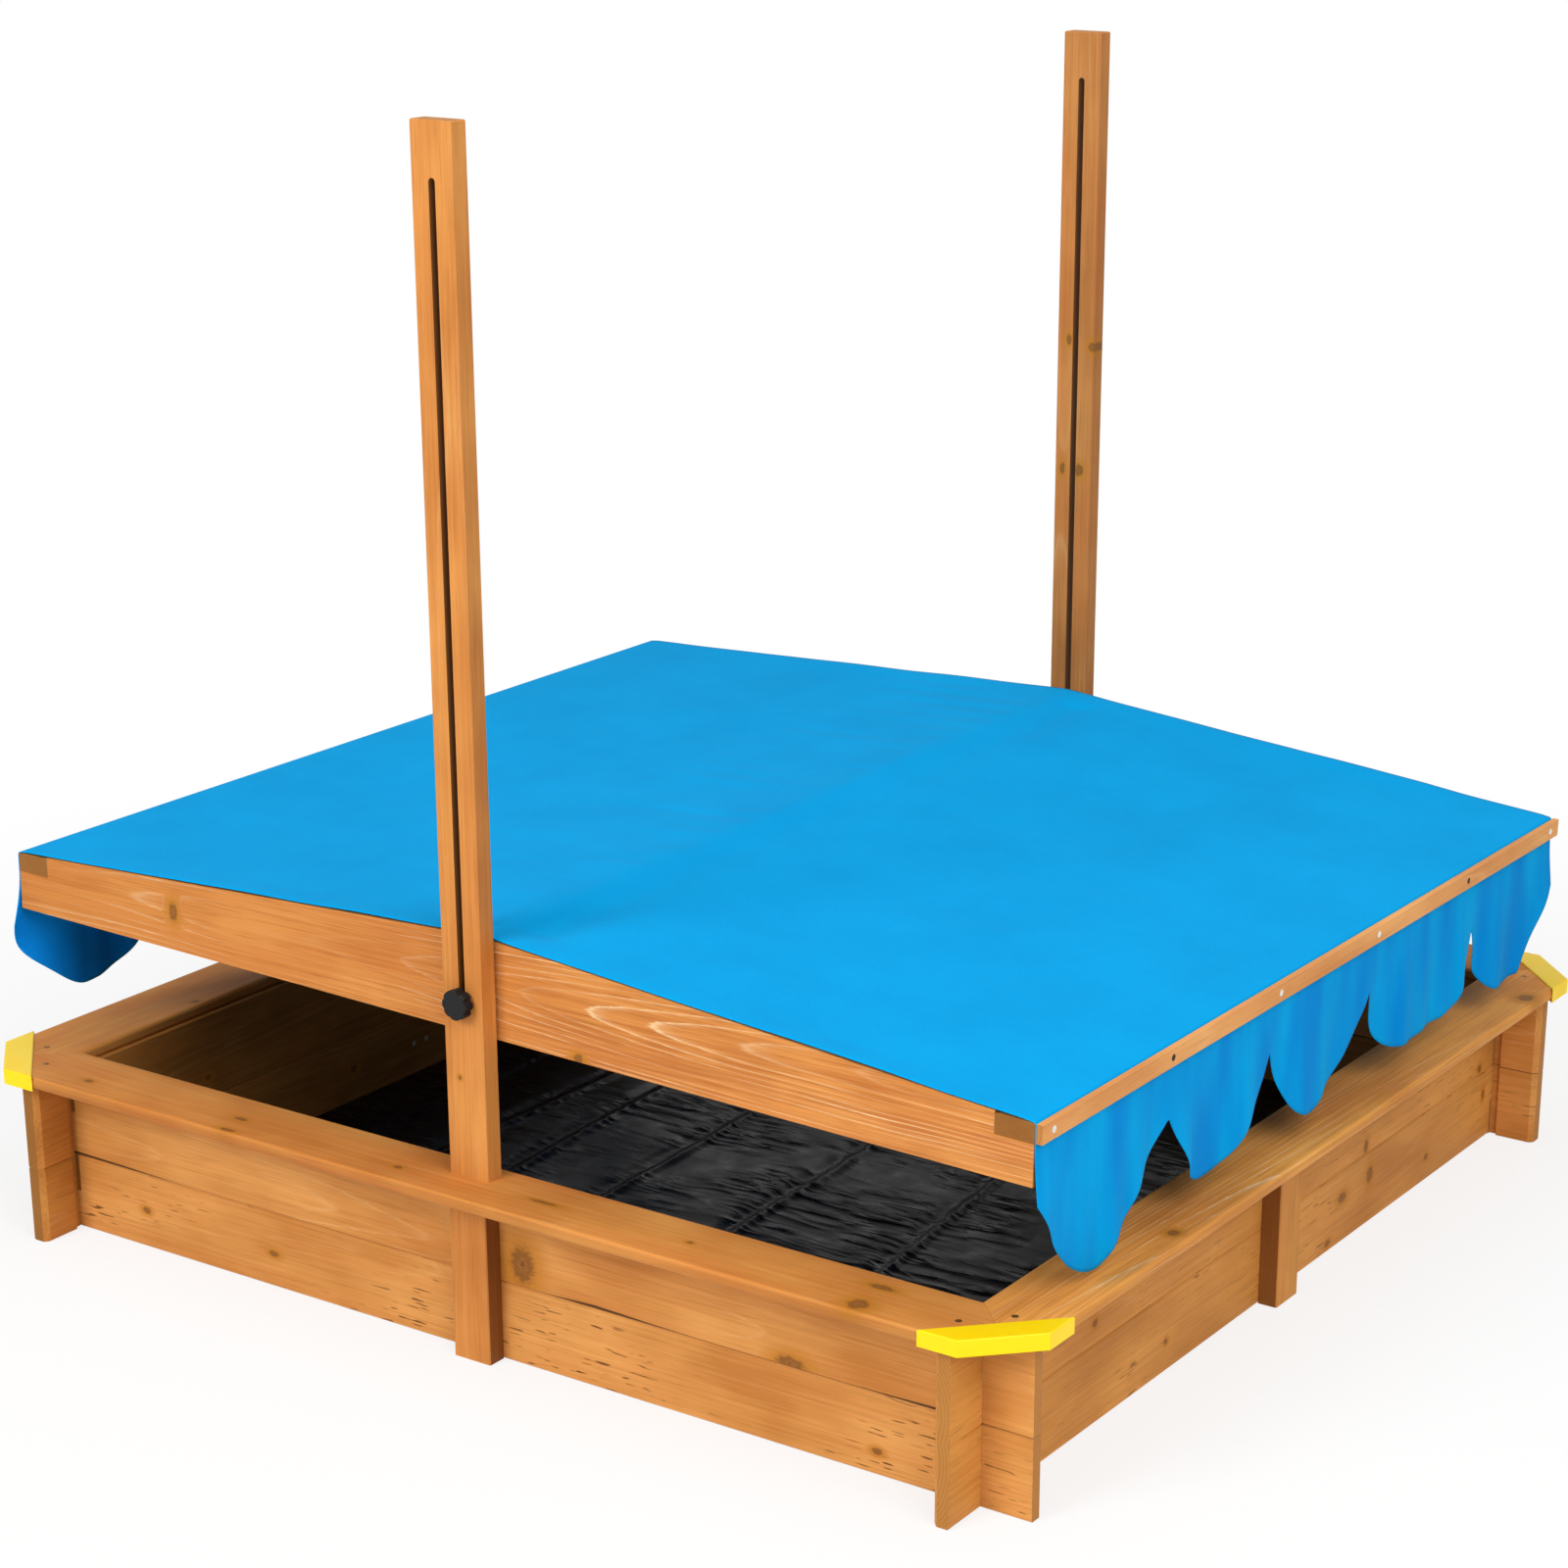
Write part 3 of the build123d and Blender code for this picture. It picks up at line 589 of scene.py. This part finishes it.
# ---------------------------------------------------------------- cloth
def woven_polyester(name, light, dark, sheen, fold_shade=0.0):
    """Canopy cloth: azure woven polyester, matt outside with a slight sheen, coated and smoother inside.

    Its threads are about 0.4 mm apart, drawn at 1.6 mm so that the weave can show. fold_shade is how
    much deeper blue is painted in soft bands down a valance, as painted shade between its folds.
    """
    material, tree = new_material(name)
    place = add(tree, "TexCoord", out="UV")
    thread = 1.6 * MM
    bands = 0.314 / thread              # this pattern repeats each 0.314 m at scale 1
    warp, weft = [add(tree, "TexWave", {"Vector": place, "Scale": bands, "Distortion": 0.6, "Detail": 1.0},
                      out="Fac", wave_type="BANDS", bands_direction=way) for way in "XY"]
    weave = maths(tree, "MULTIPLY", warp, weft)
    patch = add(tree, "TexNoise", {"Vector": place, "Scale": 1 / (120 * MM), "Detail": 4.0, "Roughness": 0.6})
    fleck = add(tree, "TexNoise", {"Vector": place, "Scale": 1 / (3 * MM), "Detail": 2.0})
    both = maths(tree, "MULTIPLY_ADD", fleck, 0.5, patch)
    tone = spread(tree, both, 0.50, 1.00)
    colour = blend(tree, tone, dark, light)
    # painted shade: soft bands of deeper blue down the valance, between its folds
    if fold_shade:
        fall = add(tree, "Mapping", {0: place, "Scale": (1 / (300 * MM), 1 / (56 * MM), 1.0)})
        fall = add(tree, "TexNoise", {"Vector": fall, "Scale": 1.0, "Detail": 2.0})
        fall = spread(tree, fall, 0.38, 0.62, 0.0, fold_shade)
        colour = blend(tree, fall, colour, "0070CC")
    bump = add(tree, "Bump", {"Height": weave, "Strength": 0.35, "Distance": 0.2 * MM})
    surface(tree, Base_Color=colour, Roughness=0.85, Normal=bump, Specular_IOR_Level=0.03,
            Sheen_Weight=sheen, Sheen_Roughness=0.5)
    return material


def lay_uv(piece, u, v):
    """Cloth coordinates in metres along the cut sheet, one pair for each point of the grid."""
    mesh = piece.data
    layer = mesh.uv_layers.new(name="cut")
    loops = np.empty(len(mesh.loops), dtype=np.int32)
    mesh.loops.foreach_get("vertex_index", loops)
    pairs = np.stack([u.ravel()[loops], v.ravel()[loops]], -1)
    layer.data.foreach_set("uv", pairs.ravel().astype(np.float32))


cloth_thickness = 0.8 * MM
cloth_lift = 0.9 * MM                   # middle of the cloth above the wood
ridge_round = 6 * MM
eave_round = 3.5 * MM
bar_edge = half_roof - 38 * MM          # inner edge of the cross-bars
rail_inside = rail_face - 20 * MM       # 2 mm inside the rails' inner faces

sag = 7 * MM                            # most, in the middle of each panel
swell = 2.0 * MM
ridge_pull = 1.0 * MM                   # pulls from the ridge across the left panel
slanting_pull = 0.5 * MM
crease_depth = 4.2 * MM                 # beside the ridge
crease_place = 0.036
crease_width = 0.021
hem_rise = 0.9 * MM
hem_width = 0.018


def canopy_profile(count):
    """The cloth's line across the roof: down one side, over the ridge with a soft crease, down the other.

    Returns x, z and the distance along the cloth. Height on the slope is the peak less the slope times
    the softened distance from the ridge, sqrt(x squared + round squared) - round; the eaves are quarter
    turns from the slope to straight down.
    """
    slope = (peak_height - eave_height) / half_roof
    side = half_roof + cloth_lift
    start = side - eave_round
    x = np.linspace(-start, start, count)
    z = peak_height + cloth_lift - slope * (np.sqrt(x * x + ridge_round ** 2) - ridge_round)
    angle = np.linspace(math.atan(slope), math.pi / 2, 7)[1:]
    bend_x = start + eave_round * np.sin(angle)
    bend_z = z[-1] - eave_round * (1 - np.cos(angle))
    fall = np.linspace(bend_z[-1], valance_top, 6)[1:]
    right_x = np.concatenate([bend_x, np.full(fall.size, bend_x[-1])])
    right_z = np.concatenate([bend_z, fall])
    x = np.concatenate([-right_x[::-1], x, right_x])
    z = np.concatenate([right_z[::-1], z, right_z])
    length = np.concatenate([[0], np.cumsum(np.hypot(np.diff(x), np.diff(z)))])
    return x, z, length


def canopy(face, back):
    """The roof's cloth: the profile carried along Y between the rails.

    It sags between the ridge bar, the cross-bars and the rails by the product of two arches, rises a
    little along its hems where it stands off the rails, dips beside the ridge close to the masts, and
    is puckered on the left of the ridge by pulls across it.
    """
    x, z, run = canopy_profile(count=147)
    y = np.linspace(-rail_face, rail_face, 261)
    X, Y = np.meshgrid(x, y)
    Z = np.broadcast_to(z, X.shape).copy()
    across = np.clip(np.abs(X) / bar_edge, 0, 1)
    on_slope = np.abs(X) < half_roof - eave_round
    between = np.clip(np.abs(Y) / rail_inside, 0, 1)
    on_cloth = smooth(0.0, 0.06, 1 - between)
    arch = np.sin(math.pi * across ** 0.85) * np.cos(0.5 * math.pi * between) ** 0.7
    Z -= sag * arch
    Z -= swell * value_noise(X / 0.19 + 9, Y / 0.23 + 5, 3) * arch
    # pulls from the ridge across the left panel, and slanting ones further down it
    left = smooth(-0.30, -0.05, X) * (1 - smooth(-0.012, 0.01, X))
    Z += ridge_pull * value_noise(Y / 0.021 + 30, X / 0.16 + 11, 8) * left * on_cloth
    Z += slanting_pull * value_noise((Y - 0.3 * X) / 0.045 + 20, X / 0.3 + 7, 5) * arch
    # the cloth is drawn down beside the ridge, most by the masts
    by_mast = 0.5 + 0.5 * np.exp(-((rail_face - np.abs(Y)) / 0.20) ** 2)
    Z -= crease_depth * np.exp(-((X - crease_place) / crease_width) ** 2) * by_mast * on_cloth
    # hems over the rails lift and settle
    hem = np.exp(-((rail_face - np.abs(Y)) / hem_width) ** 2)
    Z += (hem_rise + hem_rise * value_noise(X / 0.07 + 3, Y * 0 + 4, 12)) * hem * on_slope
    points = lean(np.stack([X, Y, Z], -1))
    piece = grid_piece("canopy_cloth_sheet", points, face, back, "roof", cloth_thickness)
    U, V = np.meshgrid(run, y)
    lay_uv(piece, U, V)
    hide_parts("canopy_cloth")


# each scallop: its start, tip and end along the eave, its drop, and how full its near and far sides are
right_scallops = [(-0.512, -0.404, -0.289, 0.148, 1.9, 1.35), (-0.289, -0.212, -0.099, 0.129, 2.6, 2.15),
                  (-0.099, -0.016, 0.102, 0.132, 2.3, 1.6), (0.102, 0.232, 0.325, 0.125, 6.0, 4.5),
                  (0.325, 0.450, 0.512, 0.133, 5.0, 0.8)]
left_scallops = [(-0.512, -0.425, -0.318, 0.138, 2.2, 3.0), (-0.318, -0.210, -0.108, 0.128, 2.4, 2.4),
                 (-0.108, 0.000, 0.098, 0.132, 2.6, 2.2), (0.098, 0.210, 0.310, 0.127, 2.4, 2.5),
                 (0.310, 0.410, 0.512, 0.131, 2.5, 2.2)]
notch_drop = 50 * MM
fold_gain = 1.25                        # on the folds' stand-out
fold_depth = 0.11                       # below the batten, where the folds are full
ripple = 2.2 * MM


def hem_line(y, scallops):
    """How far the cloth hangs at y: the notch's height and the tip's extra times 1 - t to a power.

    t is 0 at the scallop's tip and 1 at its start and end; 2 makes a parabola, less a pointed side and
    more a full, square-cornered one.
    """
    drop = np.full_like(y, notch_drop)
    for start, middle, end, tip, near_side, far_side in scallops:
        before = (y >= start) & (y <= middle)
        after = (y > middle) & (y <= end)
        t = np.where(before, (middle - y) / (middle - start), (y - middle) / (end - middle))
        shape = 1 - np.clip(t, 0, 1) ** np.where(before, near_side, far_side)
        drop = np.where(before | after, notch_drop + (tip - notch_drop) * shape, drop)
    return drop


def valance(name, side, scallops, folds, face, back):
    """The hanging edge of the cloth on one side, +1 right and -1 left.

    A point is (across, along, down): down runs from 0 at the batten to the scalloped hem, and the
    cloth leaves its plane by soft folds that grow with depth, each fold a bell across the eave.
    """
    along = np.linspace(-rail_face, rail_face, 421)
    S, T = np.meshgrid(np.linspace(0, 1, 34), along, indexing="ij")
    depth = S * hem_line(T, scallops)
    out = np.zeros_like(S)
    shift = np.zeros_like(S)
    for place, width, rise, slide in folds:
        bell = np.exp(-((T - place) / width) ** 2)
        out += fold_gain * rise * MM * bell
        shift += slide * MM * bell
    grow = smooth(0, fold_depth, depth)
    out = out * grow + ripple * value_noise(T / 0.024 + 40, depth / 0.12 + 3, 21) * grow
    top = lean(np.stack([np.full_like(along, side * (half_roof + cloth_lift)), along,
                         np.full_like(along, valance_top)], -1))
    # the cloth hangs straight down from the leaning eave
    points = np.stack([top[:, 0] + side * out, T + shift * grow, top[:, 2] - depth], -1)
    order = slice(None, None, -side)
    piece = grid_piece(name + "_sheet", points[:, order], face, back, "roof", cloth_thickness)
    lay_uv(piece, depth[:, order], T[:, order])
    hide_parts(name)
    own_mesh(piece)


# each fold: its place along the eave, its half width, how far it stands out in mm, and its slide along in mm
right_folds = [(-0.50, 0.018, 4, 4), (-0.44, 0.022, -3, 0), (-0.375, 0.016, 2, 0), (-0.31, 0.02, -3, -2),
               (-0.268, 0.018, 4, 9), (-0.215, 0.016, -3, 0), (-0.15, 0.018, 4, 0), (-0.09, 0.016, -4, 0),
               (-0.04, 0.016, 3, 0), (0.03, 0.02, -2, 0), (0.118, 0.018, -4, -7), (0.17, 0.014, 4, 0),
               (0.245, 0.022, -2, 0), (0.30, 0.013, 5, 0), (0.345, 0.012, -5, -2), (0.385, 0.018, 4, 0),
               (0.435, 0.018, -2, 0), (0.50, 0.022, 7, 6)]
left_folds = [(-0.50, 0.02, 9, -16), (-0.45, 0.03, -4, 0), (-0.39, 0.03, 6, 0), (-0.32, 0.02, -4, 0),
              (-0.25, 0.03, 7, 0), (-0.16, 0.03, -4, 0), (-0.07, 0.03, 7, 0), (0.02, 0.03, -5, 0),
              (0.12, 0.03, 6, 0), (0.2, 0.025, -4, 0), (0.27, 0.03, 7, 0), (0.36, 0.03, -5, 0),
              (0.43, 0.025, 6, 0), (0.5, 0.02, 6, 8)]


# ---------------------------------------------------------------- ground sheet
def spun_film():
    """Ground cover: black woven polypropylene film, thin, with a waxy half gloss."""
    material, tree = new_material("black_polypropylene_film")
    place = add(tree, "TexCoord", out="Object")
    smear = add(tree, "TexNoise", {"Vector": place, "Scale": 1 / (30 * MM), "Detail": 3.0})
    colour = blend(tree, smear, "040507", "090B0E")
    rough = spread(tree, smear, 0.3, 0.7, 0.24, 0.38)
    # crisp wrinkles, 12 to 40 mm apart, most of them across the fold creases
    stretched = add(tree, "Mapping", {0: place, "Rotation": (0, 0, 0.25),
                                      "Scale": (1 / (95 * MM), 1 / (26 * MM), 1.0)})
    sharp = add(tree, "TexNoise", {"Vector": stretched, "Scale": 1.0, "Detail": 2.5, "Roughness": 0.5,
                                   "Offset": 0.9, "Gain": 1.6}, noise_type="RIDGED_MULTIFRACTAL")
    area = add(tree, "TexNoise", {"Vector": place, "Scale": 1 / (130 * MM), "Detail": 1.0})
    area = spread(tree, area, 0.42, 0.60, 0.15, 1.0)
    sharp = maths(tree, "MULTIPLY", sharp, area)
    bump = add(tree, "Bump", {"Height": sharp, "Strength": 0.8, "Distance": 2.2 * MM})
    surface(tree, Base_Color=colour, Roughness=rough, Normal=bump, Specular_IOR_Level=0.22)
    return material


# fold creases: where each starts at the near wall, and how far it drifts in x per metre of y
creases = [(-0.440, 0.01), (-0.350, 0.03), (-0.236, -0.043), (-0.116, -0.040), (0.050, -0.047),
           (0.249, -0.124), (0.400, -0.05)]
bed = 3.4 * MM
bed_swell = 1.6 * MM
crease_ridge = 2.6 * MM
crease_furrow = 1.8 * MM
furrow_aside = 14 * MM
wrinkle = 1.8 * MM
bunch_height = 9 * MM
lowest = 0.6 * MM


def ground_cover(face):
    """The sheet inside the walls: a height over the ground for each x and y.

    Height is a thin bed with soft swells, fold creases that run along Y, each a narrow ridge beside a
    shallow furrow, and low wrinkles across them, in patches. Against the right wall the slack is bunched
    into folds.
    """
    low, high = sheet_box
    x = np.linspace(low.x, high.x, 341)
    y = np.linspace(low.y, high.y, 141)
    X, Y = np.meshgrid(x, y)
    Z = np.full_like(X, bed) + bed_swell * value_noise(X / 0.13 + 4, Y / 0.16 + 9, 39)
    for number, (place, drift) in enumerate(creases):
        away = X - place - drift * (Y - low.y) - 2 * MM * value_noise(Y / 0.11 + number, Y * 0 + number, 31)
        Z += crease_ridge * np.exp(-(away / 0.0055) ** 2)
        Z -= crease_furrow * np.exp(-((away + furrow_aside) / 0.008) ** 2)
    bend = value_noise(X / 0.10 + 2, Y / 0.13 + 8, 33)
    patches = smooth(-0.3, 0.5, value_noise(X / 0.15 + 6, Y / 0.15 + 1, 37))
    Z += wrinkle * value_noise(X / 0.13 + 35, (Y + 0.35 * X) / 0.034 + 1.2 * bend + 5, 35) * patches
    bunched = smooth(high.x - 0.10, high.x - 0.02, X)
    Z += bunch_height * bunched * (1 + value_noise(X / 0.05 + 1, (Y + 0.6 * X) / 0.045 + bend, 41))
    Z = np.maximum(Z, lowest)
    piece = grid_piece("ground_cover_sheet", np.stack([X, Y, Z], -1), face, face, "base", 0.4 * MM)
    lay_uv(piece, X, Y)
    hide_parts("ground_sheet")


camera()
studio()
woodwork()
fittings()
outside = woven_polyester("azure_woven_polyester", "00A4E6", "009ADB", 0.02)
hanging = woven_polyester("azure_woven_polyester_hanging", "00A4E6", "009ADB", 0.02, fold_shade=0.55)
inside = woven_polyester("coated_polyester_underside", "0A90F0", "067CDA", 0.0)
canopy(outside, inside)
valance("right_valance", 1, right_scallops, right_folds, hanging, inside)
valance("left_valance", -1, left_scallops, left_folds, hanging, inside)
ground_cover(spun_film())
